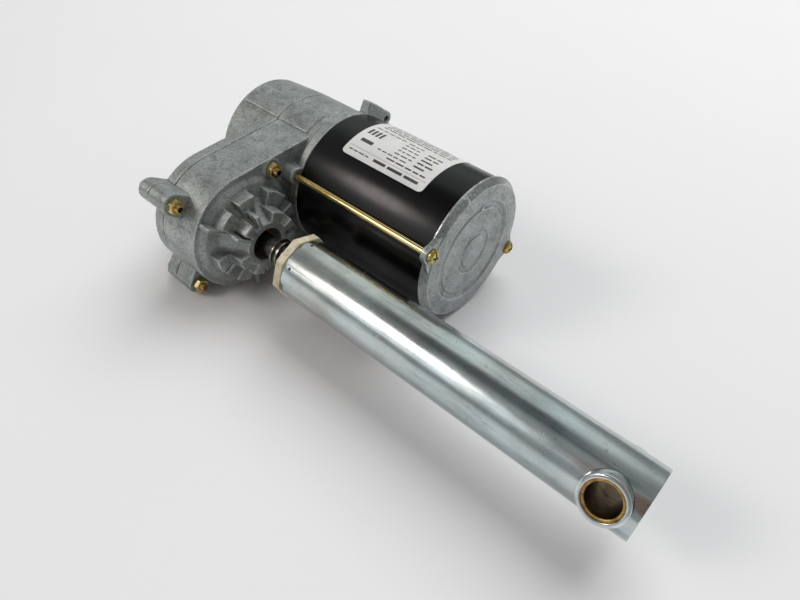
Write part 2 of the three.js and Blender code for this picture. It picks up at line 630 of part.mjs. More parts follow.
// -- front eye: a sleeve across the tube, with a bushing in each mouth
piece(
  "end_sleeve",
  crossTurned(
    [
      [SLEEVE_IN_R, -SLEEVE_HALF], [SLEEVE_R - 0.9, -SLEEVE_HALF], [SLEEVE_R, -SLEEVE_HALF + 0.9],
      [SLEEVE_R, SLEEVE_HALF - 0.9], [SLEEVE_R - 0.9, SLEEVE_HALF], [SLEEVE_IN_R, SLEEVE_HALF],
    ],
    SLEEVE_X,
    PIN_ANGLE,
    48,
  ),
  ...BRIGHT,
);
for (const [i, sign] of [1, -1].entries())
  piece(
    "end_bushing_" + (i + 1),
    crossTurned(
      [
        [BUSH_IN_R, sign * 0.15], [SLEEVE_IN_R - 0.12, sign * 0.15], [SLEEVE_IN_R - 0.12, sign * (SLEEVE_HALF - 0.7)], [BUSH_IN_R, sign * (SLEEVE_HALF - 0.7)],
      ],
      SLEEVE_X,
      PIN_ANGLE,
      40,
    ),
    ...BRONZE,
  );

// ---- roll the actuator onto its side and stand it on Z = 0, centred on the origin ----
const rolled = pieces.map((p) => ({ ...p, body: p.body.rotate([LIE_ANGLE, 0, 0]) }));
const low = [Infinity, Infinity, Infinity],
  high = [-Infinity, -Infinity, -Infinity];
for (const p of rolled) {
  const b = p.body.boundingBox();
  for (let i = 0; i < 3; i++) {
    low[i] = Math.min(low[i], b.min[i]);
    high[i] = Math.max(high[i], b.max[i]);
  }
}
const move = [-(low[0] + high[0]) / 2, -(low[1] + high[1]) / 2, -low[2]];
for (const p of rolled) {
  const m = p.body.translate(move).getMesh();
  const g = new THREE.BufferGeometry();
  const v = new Float32Array(m.numVert * 3);
  for (let i = 0; i < m.numVert; i++)
    v.set(m.vertProperties.subarray(i * m.numProp, i * m.numProp + 3), i * 3);
  g.setAttribute("position", new THREE.BufferAttribute(v, 3));
  g.setIndex(new THREE.BufferAttribute(new Uint32Array(m.triVerts), 1));
  g.computeVertexNormals();
  const mesh = new THREE.Mesh(
    g,
    new THREE.MeshStandardMaterial({
      color: p.colour,
      roughness: p.roughness,
      metalness: p.metalness,
    }),
  );
  mesh.name = p.name;
  actuator.add(mesh);
}
actuator.userData.shift_mm = move;

export default actuator;
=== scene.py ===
import json
import math

import bmesh
import bpy
import numpy as np
from mathutils import Matrix, Vector


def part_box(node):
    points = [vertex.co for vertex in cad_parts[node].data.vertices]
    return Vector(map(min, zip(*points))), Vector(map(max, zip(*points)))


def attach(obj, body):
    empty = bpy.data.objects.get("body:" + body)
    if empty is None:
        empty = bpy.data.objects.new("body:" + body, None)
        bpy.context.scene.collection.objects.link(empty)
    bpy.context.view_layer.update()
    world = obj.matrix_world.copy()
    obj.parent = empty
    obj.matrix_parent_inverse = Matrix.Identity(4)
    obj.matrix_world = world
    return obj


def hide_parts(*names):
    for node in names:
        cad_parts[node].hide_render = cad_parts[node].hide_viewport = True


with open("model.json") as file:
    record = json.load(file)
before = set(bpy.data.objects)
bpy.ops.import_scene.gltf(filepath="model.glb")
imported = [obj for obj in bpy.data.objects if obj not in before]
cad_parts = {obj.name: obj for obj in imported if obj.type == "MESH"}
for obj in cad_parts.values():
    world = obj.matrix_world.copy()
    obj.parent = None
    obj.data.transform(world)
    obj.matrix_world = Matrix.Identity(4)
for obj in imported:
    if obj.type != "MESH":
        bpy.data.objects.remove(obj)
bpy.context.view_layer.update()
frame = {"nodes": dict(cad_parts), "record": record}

NODES = frame["nodes"]
RECORD = frame["record"]
BODY_OF = {
    n: b for b, ns in RECORD["behaviour"]["bodies"].items() for n in ns
}
SLOT_OF = {p["node"]: p.get("material_slot") for p in RECORD.get("subparts", [])}
COL = bpy.context.scene.collection
rad = math.radians

# ---------------------------------------------------------------- shaping frame
# Pieces are shaped in millimetres with X along the screw, the screw on the X axis
# and Y towards the motor. SHAPE takes them to the frame's metres.
_tl, _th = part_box("drive_tube")
_ml, _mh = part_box("motor_shell")
_ty, _tz = (_tl.y + _th.y) / 2, (_tl.z + _th.z) / 2
_my, _mz = (_ml.y + _mh.y) / 2, (_ml.z + _mh.z) / 2
THETA = math.atan2(_mz - _tz, _my - _ty)
MY = math.hypot(_mz - _tz, _my - _ty) * 1000
SHAPE = (
    Matrix.Translation((_tl.x, _ty, _tz))
    @ Matrix.Rotation(THETA, 4, "X")
    @ Matrix.Scale(0.001, 4)
)
PIN = 149.0
TUBE_R, TUBE_IN, TUBE_LEN = 19.05, 16.45, (_th.x - _tl.x) * 1000
SLEEVE_X = 207.1
THROUGH_R = 49.0
SHELL_X0, SHELL_X1 = (_ml.x - _tl.x) * 1000, (_mh.x - _tl.x) * 1000


def polar(r, deg, y=0.0, z=0.0):
    return (y + r * math.cos(rad(deg)), z + r * math.sin(rad(deg)))


CASE_BOLTS = [
    (-35.1, 32.5, -68.7, 12, -94.0),
    (-35.1, -32.5, -68.7, 40, -94.0),
    (26.0, 33.4, -52.6, 22, -92.5),
    (20.0, -37.0, -52.6, 5, -92.5),
    (*polar(51, -42, MY, 0), -68.7, 0, -92.5),
]

# ---------------------------------------------------------------- mesh helpers


def raw_mesh(name, verts, faces):
    me = bpy.data.meshes.new(name)
    me.from_pydata([tuple(v) for v in verts], [], [tuple(f) for f in faces])
    me.validate(clean_customdata=False)
    return me


def shaped(name, verts, faces, matrix=None):
    """A new object from vertices in the shaping frame."""
    me = raw_mesh(name, verts, faces)
    if matrix is not None:
        me.transform(matrix)
    me.transform(SHAPE)
    ob = bpy.data.objects.new(name, me)
    COL.objects.link(ob)
    return ob


def outward(ob):
    bm = bmesh.new()
    bm.from_mesh(ob.data)
    bmesh.ops.remove_doubles(bm, verts=bm.verts, dist=1e-8)
    bmesh.ops.recalc_face_normals(bm, faces=bm.faces)
    bm.to_mesh(ob.data)
    bm.free()
    return ob


def smooth(ob, angle=32):
    me = ob.data
    me.polygons.foreach_set("use_smooth", [True] * len(me.polygons))
    me.set_sharp_from_angle(angle=rad(angle))
    return ob


def baked(ob):
    """Applies every modifier of the object."""
    dg = bpy.context.evaluated_depsgraph_get()
    me = bpy.data.meshes.new_from_object(ob.evaluated_get(dg))
    old = ob.data
    ob.modifiers.clear()
    ob.data = me
    if old.users == 0:
        bpy.data.meshes.remove(old)
    return ob


def cut(ob, tools, operation="DIFFERENCE"):
    for t in tools:
        m = ob.modifiers.new("cut", "BOOLEAN")
        m.object = t
        m.operation = operation
        m.solver = "EXACT"
    bpy.context.view_layer.update()
    baked(ob)
    for t in tools:
        bpy.data.objects.remove(t)
    return ob


def finish(ob, mat, body, nodes=(), angle=32):
    smooth(ob, angle)
    ob.data.materials.clear()
    ob.data.materials.append(mat)
    if nodes:
        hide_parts(*nodes)
    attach(ob, body)
    return ob


def filleted(points, steps=5):
    """points are (x, r) or (x, r, fillet); a closed profile with its corners rounded."""
    out = []
    n = len(points)
    for i in range(n):
        p = points[i]
        f = p[2] if len(p) > 2 else 0.0
        a = np.array(points[i - 1][:2], float)
        b = np.array(p[:2], float)
        c = np.array(points[(i + 1) % n][:2], float)
        if f <= 0:
            out.append(tuple(b))
            continue
        u, v = a - b, c - b
        lu, lv = np.linalg.norm(u), np.linalg.norm(v)
        u, v = u / lu, v / lv
        cosang = float(np.clip(np.dot(u, v), -1, 1))
        half = math.acos(cosang) / 2
        if half > rad(88):
            out.append(tuple(b))
            continue
        d = min(f / math.tan(half), lu * 0.49, lv * 0.49)
        r = d * math.tan(half)
        w = (u + v) / np.linalg.norm(u + v)
        cen = b + w * (r / math.sin(half))
        p0, p1 = b + u * d, b + v * d
        a0 = math.atan2(*(p0 - cen)[::-1])
        a1 = math.atan2(*(p1 - cen)[::-1])
        da = (a1 - a0 + math.pi) % (2 * math.pi) - math.pi
        for k in range(steps + 1):
            t = a0 + da * k / steps
            out.append((cen[0] + r * math.cos(t), cen[1] + r * math.sin(t)))
    return out


def lathe_data(profile, segs=128):
    """Closed (x, r) profile turned about X."""
    pts = [(p[0], max(p[1], 0.0)) for p in profile]
    n = len(pts)
    verts, faces = [], []
    for x, r in pts:
        for k in range(segs):
            t = 2 * math.pi * k / segs
            verts.append((x, r * math.cos(t), r * math.sin(t)))
    for i in range(n):
        j = (i + 1) % n
        if pts[i][1] == 0 and pts[j][1] == 0:
            continue
        for k in range(segs):
            l = (k + 1) % segs
            faces.append((i * segs + k, i * segs + l, j * segs + l, j * segs + k))
    return verts, faces


def lathe(name, profile, centre=(0.0, 0.0), segs=128, matrix=None):
    v, f = lathe_data(profile, segs)
    m = Matrix.Translation((0, centre[0], centre[1]))
    if matrix is not None:
        m = matrix
    return outward(shaped(name, v, f, m))


def across(x, deg=PIN):
    """Takes X of a turned piece to the cross direction, at x."""
    c, s = math.cos(rad(deg)), math.sin(rad(deg))
    m = Matrix(((0, 1, 0, x), (c, 0, -s, 0), (s, 0, c, 0), (0, 0, 0, 1)))
    return m


def box_data(x0, x1, y0, y1, z0, z1):
    v = [
        (x0, y0, z0), (x1, y0, z0), (x1, y1, z0), (x0, y1, z0),
        (x0, y0, z1), (x1, y0, z1), (x1, y1, z1), (x0, y1, z1),
    ]
    f = [(0, 3, 2, 1), (4, 5, 6, 7), (0, 1, 5, 4), (2, 3, 7, 6), (1, 2, 6, 5), (0, 4, 7, 3)]
    return v, f


def solid_box(name, x0, x1, y0, y1, z0, z1, matrix=None):
    v, f = box_data(x0, x1, y0, y1, z0, z1)
    return shaped(name, v, f, matrix)


def sector_solid(name, x0, x1, r0, r1, a0, a1, y=0.0, z=0.0, steps=16, x0b=None, x1b=None):
    """A block between two radii and two angles; x0b and x1b are its ends at a1."""
    x0b = x0 if x0b is None else x0b
    x1b = x1 if x1b is None else x1b
    verts, faces = [], []
    for i in range(steps + 1):
        t = i / steps
        a = a0 + (a1 - a0) * t
        xa, xb = x0 + (x0b - x0) * t, x1 + (x1b - x1) * t
        for r, x in ((r0, xa), (r1, xa), (r1, xb), (r0, xb)):
            p = polar(r, a, y, z)
            verts.append((x, p[0], p[1]))
    for i in range(steps):
        b, c = i * 4, i * 4 + 4
        for k in range(4):
            l = (k + 1) % 4
            faces.append((b + k, b + l, c + l, c + k))
    faces.append((0, 3, 2, 1))
    e = steps * 4
    faces.append((e, e + 1, e + 2, e + 3))
    return outward(shaped(name, verts, faces))


def hex_data(x0, x1, flats, turn, bore=0.0, chamfer=0.95, segs=96, both=True, dish=0.0):
    """Hexagonal piece along X with its corners turned off at 30 degrees."""
    rc = flats / 2 * chamfer
    k30 = math.tan(rad(30))
    verts, faces = [], []
    rings = []

    def ring(fn):
        start = len(verts)
        for k in range(segs):
            t = 2 * math.pi * k / segs
            q = (math.degrees(t) - turn) % 60 - 30
            rh = flats / 2 / math.cos(rad(q))
            rh = min(rh, flats / 2 / math.cos(rad(30)) - 0.12)
            x, r = fn(rh)
            verts.append((x, r * math.cos(t), r * math.sin(t)))
        rings.append(start)

    ring(lambda rh: (x0 + 0.25, bore))
    if bore:
        ring(lambda rh: (x0, bore + 0.25))
    ring(lambda rh: (x0, rc))
    ring(lambda rh: (x0 + ((rh - rc) * k30 if both else 0.02), rh))
    ring(lambda rh: (x1 - (rh - rc) * k30, rh))
    ring(lambda rh: (x1, rc))
    if bore:
        ring(lambda rh: (x1, bore + 0.3))
        ring(lambda rh: (x1 - 0.3, bore))
    else:
        ring(lambda rh: (x1 - dish, rc * 0.6))
        ring(lambda rh: (x1 - dish, 0.0))
    n = len(rings)
    for i in range(n if bore else n - 1):
        a, b = rings[i], rings[(i + 1) % n]
        for k in range(segs):
            l = (k + 1) % segs
            faces.append((a + k, a + l, b + l, b + k))
    return verts, faces


def thread_data(x0, x1, crest, root, pitch, segs=48, per=16, acme=True, cone=0.0, hand=1, phase=0.0):
    """Screw-threaded bar: the rows follow the helix, so the crests are true."""
    shape = []
    for j in range(per):
        p = j / per
        if acme:
            if p < 0.34:
                r = crest
            elif p < 0.50:
                r = crest + (root - crest) * (p - 0.34) / 0.16
            elif p < 0.84:
                r = root
            else:
                r = root + (crest - root) * (p - 0.84) / 0.16
        else:
            r = root + (crest - root) * (1 - abs(2 * p - 1)) ** 0.8
        shape.append(r)
    rows = int(math.ceil((x1 - x0) / pitch + 2) * per)
    verts, faces = [], []
    for j in range(rows + 1):
        r0 = shape[j % per]
        for k in range(segs):
            t = k / segs
            x = x0 - pitch + pitch * (j / per + t) + phase
            r = r0
            if cone > 0:
                lim0 = crest - cone + (x - x0) if x < x0 + cone else crest
                lim1 = crest - cone + (x1 - x) if x > x1 - cone else crest
                r = min(r, max(lim0, 0.2), max(lim1, 0.2))
            xc = min(max(x, x0), x1)
            ang = 2 * math.pi * t * hand
            verts.append((xc, r * math.cos(ang), r * math.sin(ang)))
    for j in range(rows):
        for k in range(segs):
            l = (k + 1) % segs
            if l == 0:
                # the last column meets the first one turn later
                if j + per + 1 <= rows:
                    faces.append((j * segs + k, (j + per) * segs, (j + per + 1) * segs, (j + 1) * segs + k))
            else:
                faces.append((j * segs + k, j * segs + l, (j + 1) * segs + l, (j + 1) * segs + k))
    return verts, faces


def joined(name, parts):
    """One mesh from (verts, faces) lists."""
    V, F = [], []
    for v, f in parts:
        o = len(V)
        V += list(v)
        F += [tuple(i + o for i in face) for face in f]
    return shaped(name, V, F)


def moved(data, dx=0.0, dy=0.0, dz=0.0):
    v, f = data
    return [(a + dx, b + dy, c + dz) for a, b, c in v], f


def patch_data(x0, x1, a0, a1, r_in, r_out, corner, centre, rows=48, cols=10):
    """Thin sheet wrapped round X between two angles, with rounded corners."""
    arc = rad(abs(a1 - a0)) * r_out
    top, bottom = [], []
    verts = []
    ts = sorted(
        set(
            [i / rows for i in range(rows + 1)]
            + [corner * k / 8 / arc for k in range(9)]
            + [1 - corner * k / 8 / arc for k in range(9)]
        )
    )
    for t in ts:
        s = min(t, 1 - t) * arc
        inset = 0.0
        if s < corner:
            inset = corner - math.sqrt(max(corner**2 - (corner - s) ** 2, 0.0))
        a = a0 + (a1 - a0) * t
        for rr, store in ((r_out, top), (r_in, bottom)):
            row = []
            for c in range(cols + 1):
                x = (x0 + inset) + (x1 - x0 - 2 * inset) * c / cols
                p = polar(rr, a, *centre)
                row.append(len(verts))
                verts.append((x, p[0], p[1]))
            store.append(row)
    faces = []
    n = len(ts)
    for i in range(n - 1):
        for c in range(cols):
            faces.append((top[i][c], top[i][c + 1], top[i + 1][c + 1], top[i + 1][c]))
            faces.append((bottom[i][c], bottom[i + 1][c], bottom[i + 1][c + 1], bottom[i][c + 1]))
        faces.append((top[i][0], top[i + 1][0], bottom[i + 1][0], bottom[i][0]))
        faces.append((top[i][cols], bottom[i][cols], bottom[i + 1][cols], top[i + 1][cols]))
    for c in range(cols):
        faces.append((top[0][c], bottom[0][c], bottom[0][c + 1], top[0][c + 1]))
        faces.append((top[n - 1][c], top[n - 1][c + 1], bottom[n - 1][c + 1], bottom[n - 1][c]))
    return verts, faces


# ---------------------------------------------------------------- materials
class Nodes:
    def __init__(self, name):
        self.mat = bpy.data.materials.new(name)
        self.mat.use_nodes = True
        self.nt = self.mat.node_tree
        self.nt.nodes.clear()
        self.out = self.add("ShaderNodeOutputMaterial")
        self.b = self.add("ShaderNodeBsdfPrincipled")
        self.link(self.b.outputs["BSDF"], self.out.inputs["Surface"])
        self.co = self.add("ShaderNodeTexCoord").outputs["Object"]

    def add(self, kind):
        return self.nt.nodes.new(kind)

    def link(self, a, b):
        self.nt.links.new(a, b)

    def put(self, socket, value):
        if hasattr(value, "is_linked") or hasattr(value, "links"):
            self.link(value, socket)
        else:
            socket.default_value = value

    def set(self, **kw):
        names = {
            "color": "Base Color", "metallic": "Metallic", "roughness": "Roughness",
            "normal": "Normal", "ior": "IOR", "coat": "Coat Weight", "coat_roughness": "Coat Roughness",
            "specular": "Specular IOR Level", "subsurface": "Subsurface Weight", "sss_scale": "Subsurface Scale",
            "anisotropic": "Anisotropic", "sheen": "Sheen Weight",
        }
        for k, v in kw.items():
            if k in ("color",) and isinstance(v, (tuple, list)):
                v = (*v[:3], 1.0)
            self.put(self.b.inputs[names[k]], v)
        return self.mat

    def scaled(self, sx, sy, sz, vec=None, rot=(0, 0, 0)):
        m = self.add("ShaderNodeMapping")
        m.inputs["Scale"].default_value = (sx, sy, sz)
        m.inputs["Rotation"].default_value = rot
        self.link(vec or self.co, m.inputs["Vector"])
        return m.outputs["Vector"]

    def noise(self, scale, detail=4.0, rough=0.55, vec=None, distortion=0.0, lac=2.0):
        n = self.add("ShaderNodeTexNoise")
        n.inputs["Scale"].default_value = scale
        n.inputs["Detail"].default_value = detail
        n.inputs["Roughness"].default_value = rough
        n.inputs["Distortion"].default_value = distortion
        n.inputs["Lacunarity"].default_value = lac
        self.link(vec or self.co, n.inputs["Vector"])
        return n.outputs["Fac"]

    def voronoi(self, scale, vec=None, feature="F1", random=1.0):
        n = self.add("ShaderNodeTexVoronoi")
        n.feature = feature
        n.inputs["Scale"].default_value = scale
        n.inputs["Randomness"].default_value = random
        self.link(vec or self.co, n.inputs["Vector"])
        return n.outputs["Distance"]

    def ramp(self, fac, stops, mode="LINEAR"):
        r = self.add("ShaderNodeValToRGB")
        r.color_ramp.interpolation = mode
        els = r.color_ramp.elements
        while len(els) > 1:
            els.remove(els[-1])
        for i, (p, c) in enumerate(stops):
            e = els[0] if i == 0 else els.new(p)
            e.position = p
            c = (c, c, c) if isinstance(c, (int, float)) else c
            e.color = (*c[:3], 1.0)
        self.link(fac, r.inputs["Fac"])
        return r.outputs["Color"]

    def math(self, op, a, b=None, c=None, clamp=False):
        m = self.add("ShaderNodeMath")
        m.operation = op
        m.use_clamp = clamp
        self.put(m.inputs[0], a)
        if b is not None:
            self.put(m.inputs[1], b)
        if c is not None:
            self.put(m.inputs[2], c)
        return m.outputs[0]

    def mix(self, fac, a, b, mode="MIX"):
        m = self.add("ShaderNodeMix")
        m.data_type = "RGBA"
        m.blend_type = mode
        self.put(m.inputs[0], fac)
        for s, v in ((m.inputs[6], a), (m.inputs[7], b)):
            if isinstance(v, (tuple, list)):
                v = (*v[:3], 1.0)
            self.put(s, v)
        return m.outputs[2]

    def bump(self, height, strength=0.3, distance=0.0002, normal=None):
        b = self.add("ShaderNodeBump")
        b.inputs["Strength"].default_value = strength
        b.inputs["Distance"].default_value = distance
        self.link(height, b.inputs["Height"])
        if normal is not None:
            self.link(normal, b.inputs["Normal"])
        return b.outputs["Normal"]

    def point(self):
        g = self.add("ShaderNodeNewGeometry")
        return g.outputs["Pointiness"]


def cast_material(name, base=(0.345, 0.372, 0.36), bright=(0.70, 0.73, 0.71), dark=(0.10, 0.112, 0.108), rough=0.46, edge=0.6, metal=0.55):
    s = Nodes(name)
    blotch = s.noise(55, 5, 0.6)
    fine = s.noise(900, 4, 0.6)
    tone = s.ramp(blotch, [(0.30, tuple(c * 0.72 for c in base)), (0.52, base), (0.72, tuple(min(c * 1.28, 1) for c in base))])
    speck = s.ramp(fine, [(0.33, 0.45), (0.5, 1.0), (0.68, 1.3)])
    tone = s.mix(0.7, tone, speck, "MULTIPLY")
    soot = s.ramp(s.noise(130, 6, 0.72, distortion=0.6), [(0.36, 1.0), (0.47, 0.0)])
    tone = s.mix(s.math("MULTIPLY", soot, 0.45), tone, dark)
    # painted shade in the hollows; the edges lighter, partly bare metal where they rub and partly a painted highlight
    p = s.point()
    hollow_shade = s.ramp(p, [(0.46, 1.0), (0.497, 0.0)])
    ridge = s.ramp(p, [(0.505, 0.0), (0.535, 1.0)])
    patch = s.ramp(s.noise(190, 4, 0.65), [(0.40, 0.05), (0.60, 1.0)])
    ridge = s.math("MULTIPLY", s.math("MULTIPLY", ridge, patch), edge)
    tone = s.mix(s.math("MULTIPLY", hollow_shade, 0.7), tone, dark)
    tone = s.mix(ridge, tone, bright)
    # scuffs from tumbling
    scr = s.noise(210, 3, 0.5, s.scaled(1, 9, 3, rot=(0.5, 0.2, 0.9)))
    scr2 = s.noise(260, 3, 0.5, s.scaled(8, 1, 4, rot=(1.1, 0.7, 0.1)))
    scuff = s.math("MAXIMUM", s.ramp(scr, [(0.64, 0.0), (0.72, 1.0)]), s.ramp(scr2, [(0.66, 0.0), (0.74, 1.0)]))
    tone = s.mix(s.math("MULTIPLY", scuff, 0.42), tone, bright)
    r = s.math("MULTIPLY_ADD", s.noise(120, 4), 0.28, rough - 0.14)
    r = s.math("SUBTRACT", r, s.math("MULTIPLY", ridge, 0.18), clamp=True)
    pits = s.ramp(s.voronoi(700, random=1.0), [(0.05, 0.0), (0.22, 1.0)])
    h = s.math("ADD", s.math("MULTIPLY", s.noise(480, 5, 0.6), 0.7), s.math("MULTIPLY", pits, 0.3))
    n = s.bump(h, 0.42, 0.00022)
    n = s.bump(s.noise(110, 3, 0.5), 0.22, 0.0008, n)
    return s.set(color=tone, metallic=metal, roughness=r, normal=n, specular=0.5)


def zinc_bright(name, base=(0.585, 0.62, 0.61), rough=0.2):
    s = Nodes(name)
    cloud = s.noise(26, 5, 0.6)
    tone = s.ramp(cloud, [(0.32, tuple(c * 0.74 for c in base)), (0.52, base), (0.72, tuple(min(c * 1.16, 1.0) for c in base))])
    blue = s.ramp(s.noise(14, 3, 0.5), [(0.4, (1.0, 0.99, 0.95)), (0.62, (0.90, 0.965, 1.0))])
    tone = s.mix(1.0, tone, blue, "MULTIPLY")
    spots = s.ramp(s.noise(340, 3, 0.6), [(0.30, 0.6), (0.36, 1.0)])
    tone = s.mix(0.6, tone, spots, "MULTIPLY")
    streak = s.ramp(s.noise(150, 5, 0.65, s.scaled(0.12, 1, 1)), [(0.35, 0.72), (0.5, 1.0), (0.68, 1.12)])
    tone = s.mix(0.7, tone, streak, "MULTIPLY")
    # long faint draw marks and a few cross scratches
    draw = s.noise(900, 2, 0.5, s.scaled(0.012, 1, 1))
    lines = s.ramp(draw, [(0.3, 0.0), (0.7, 1.0)])
    cross = s.ramp(s.noise(300, 2, 0.5, s.scaled(1.0, 0.05, 0.9, rot=(0.3, 0.1, 0.35))), [(0.70, 0.0), (0.74, 1.0)])
    cross2 = s.ramp(s.noise(220, 2, 0.5, s.scaled(0.06, 1.0, 1.0, rot=(0.1, 0.25, -0.28))), [(0.71, 0.0), (0.75, 1.0)])
    marks = s.math("MAXIMUM", cross, cross2)
    tone = s.mix(s.math("MULTIPLY", marks, 0.25), tone, (0.45, 0.46, 0.47))
    r = s.math("MULTIPLY_ADD", s.noise(60, 5, 0.65), 0.22, rough - 0.10)
    r = s.math("MULTIPLY_ADD", marks, 0.10, r, clamp=True)
    h = s.math("MULTIPLY_ADD", marks, -0.5, lines)
    n = s.bump(h, 0.05, 0.00004)
    n = s.bump(s.noise(85, 3, 0.5), 0.05, 0.0006, n)
    return s.set(color=tone, metallic=1.0, roughness=r, normal=n)


def yellow_zinc(name, scale=230, rough=0.17, grime_amount=0.6, vec=(1, 1, 1)):
    s = Nodes(name)
    hue = s.ramp(
        s.noise(scale, 3, 0.55, s.scaled(*vec)),
        [(0.25, (0.42, 0.20, 0.035)), (0.42, (0.62, 0.40, 0.08)), (0.56, (0.70, 0.58, 0.22)), (0.66, (0.42, 0.46, 0.20)), (0.8, (0.60, 0.22, 0.12))],
    )
    p = s.point()
    # painted highlight: the edges lighter in the same yellow
    ridge = s.ramp(p, [(0.51, 0.0), (0.6, 1.0)])
    tone = s.mix(s.math("MULTIPLY", ridge, 0.55), hue, (0.80, 0.68, 0.36))
    # painted shade: the hollows darkened
    hollow_shade = s.ramp(p, [(0.42, 1.0), (0.49, 0.0)])
    tone = s.mix(s.math("MULTIPLY", hollow_shade, 0.6), tone, (0.13, 0.085, 0.03))
    grime = s.ramp(s.noise(700, 4, 0.6), [(0.34, 0.45), (0.48, 1.0)])
    tone = s.mix(grime_amount, tone, grime, "MULTIPLY")
    r = s.math("MULTIPLY_ADD", s.noise(420, 3), 0.2, rough, clamp=True)
    n = s.bump(s.noise(1400, 3, 0.6), 0.08, 0.00005)
    return s.set(color=tone, metallic=1.0, roughness=r, normal=n)


def bronze(name, dark=1.0):
    s = Nodes(name)
    hue = s.ramp(
        s.noise(300, 4, 0.6),
        [(0.3, (0.20 * dark, 0.105 * dark, 0.035 * dark)), (0.5, (0.50 * dark, 0.31 * dark, 0.09 * dark)), (0.7, (0.66 * dark, 0.45 * dark, 0.15 * dark))],
    )
    pores = s.ramp(s.voronoi(2600), [(0.05, 0.35), (0.25, 1.0)])
    tone = s.mix(0.6, hue, pores, "MULTIPLY")
    r = s.math("MULTIPLY_ADD", s.noise(800, 3), 0.25, 0.22, clamp=True)
    n = s.bump(s.noise(2200, 3, 0.6), 0.18, 0.00005)
    return s.set(color=tone, metallic=1.0, roughness=r, normal=n)


def steel(name, base=(0.55, 0.55, 0.55), rough=0.3, grease=0.0):
    s = Nodes(name)
    tone = s.ramp(s.noise(160, 4, 0.6), [(0.3, tuple(c * 0.75 for c in base)), (0.6, base), (0.8, tuple(c * 1.15 for c in base))])
    turn = s.noise(1500, 2, 0.5, s.scaled(1, 0.05, 0.05))
    if grease > 0:
        # grease patches, and painted shade in the hollows in the grease's near-black colour
        g = s.ramp(s.noise(240, 4, 0.65), [(0.36, 1.0), (0.56, 0.0)])
        p = s.point()
        hollow_shade = s.ramp(p, [(0.44, 1.0), (0.50, 0.0)])
        g = s.math("MAXIMUM", s.math("MULTIPLY", g, grease), s.math("MULTIPLY", hollow_shade, 0.9))
        tone = s.mix(g, tone, (0.035, 0.030, 0.022))
    r = s.math("MULTIPLY_ADD", s.noise(240, 3), 0.2, rough - 0.1, clamp=True)
    n = s.bump(turn, 0.10, 0.00005)
    return s.set(color=tone, metallic=1.0, roughness=r, normal=n)


def plastic(name, base, var=0.12, rough=0.45, bump=0.12, sss=0.0, stain_and_shade=None, spec=0.5, scale=300):
    s = Nodes(name)
    tone = s.ramp(s.noise(90, 5, 0.6), [(0.3, tuple(c * (1 - var) for c in base)), (0.7, tuple(min(1, c * (1 + var)) for c in base))])
    if stain_and_shade:
        d = s.ramp(s.noise(170, 5, 0.7), [(0.40, 1.0), (0.56, 0.0)])
        tone = s.mix(s.math("MULTIPLY", d, 0.55), tone, stain_and_shade)
        # painted shade in the hollows, in the stain colour
        hollow_shade = s.ramp(s.point(), [(0.43, 1.0), (0.495, 0.0)])
        tone = s.mix(s.math("MULTIPLY", hollow_shade, 0.7), tone, stain_and_shade)
    r = s.math("MULTIPLY_ADD", s.noise(scale, 3), 0.2, rough - 0.1, clamp=True)
    n = s.bump(s.noise(scale * 3, 4, 0.6), bump, 0.0001)
    s.set(color=tone, metallic=0.0, roughness=r, normal=n, specular=spec)
    if sss:
        s.b.inputs["Subsurface Weight"].default_value = sss
        s.b.inputs["Subsurface Scale"].default_value = 0.002
        s.b.inputs["Subsurface Radius"].default_value = (1.0, 0.7, 0.45)
    return s.mat


def black_enamel(name):
    s = Nodes(name)
    tone = s.ramp(s.noise(70, 5, 0.6), [(0.3, (0.0018, 0.0018, 0.002)), (0.7, (0.0036, 0.0034, 0.0034))])
    dust = s.ramp(s.noise(1600, 3, 0.7), [(0.66, 0.0), (0.74, 1.0)])
    tone = s.mix(s.math("MULTIPLY", dust, 0.12), tone, (0.30, 0.29, 0.27))
    edge = s.ramp(s.point(), [(0.53, 0.0), (0.60, 1.0)])
    chips = s.ramp(s.noise(420, 4, 0.7), [(0.55, 0.0), (0.6, 1.0)])
    tone = s.mix(s.math("MULTIPLY", s.math("MULTIPLY", edge, chips), 0.6), tone, (0.28, 0.27, 0.26))
    r = s.math("MULTIPLY_ADD", s.noise(150, 4), 0.14, 0.16, clamp=True)
    n = s.bump(s.noise(240, 3, 0.5), 0.045, 0.0004)
    n = s.bump(s.noise(1300, 2, 0.5), 0.03, 0.00006, n)
    return s.set(color=tone, metallic=0.0, roughness=r, normal=n, specular=0.30)


def label_paper(name):
    s = Nodes(name)
    tone = s.ramp(s.noise(60, 4, 0.6), [(0.3, (0.60, 0.605, 0.59)), (0.7, (0.70, 0.70, 0.685))])
    smear = s.ramp(s.noise(38, 5, 0.65, s.scaled(1, 3, 3)), [(0.58, 0.0), (0.75, 1.0)])
    tone = s.mix(s.math("MULTIPLY", smear, 0.25), tone, (0.46, 0.45, 0.42))
    r = s.math("MULTIPLY_ADD", s.noise(400, 3), 0.15, 0.34, clamp=True)
    n = s.bump(s.noise(900, 3, 0.5), 0.05, 0.00004)
    return s.set(color=tone, metallic=0.0, roughness=r, normal=n, specular=0.5)


def laminations(name, base=(0.16, 0.165, 0.17)):
    s = Nodes(name)
    wave = s.noise(1, 0, 0, s.scaled(1800, 0.001, 0.001))
    tone = s.ramp(wave, [(0.4, tuple(c * 0.5 for c in base)), (0.55, tuple(c * 1.5 for c in base))])
    tone = s.mix(0.4, tone, s.ramp(s.noise(200, 4), [(0.3, 0.5), (0.7, 1.3)]), "MULTIPLY")
    n = s.bump(wave, 0.3, 0.0001)
    r = s.math("MULTIPLY_ADD", s.noise(300, 3), 0.2, 0.4, clamp=True)
    return s.set(color=tone, metallic=0.8, roughness=r, normal=n)


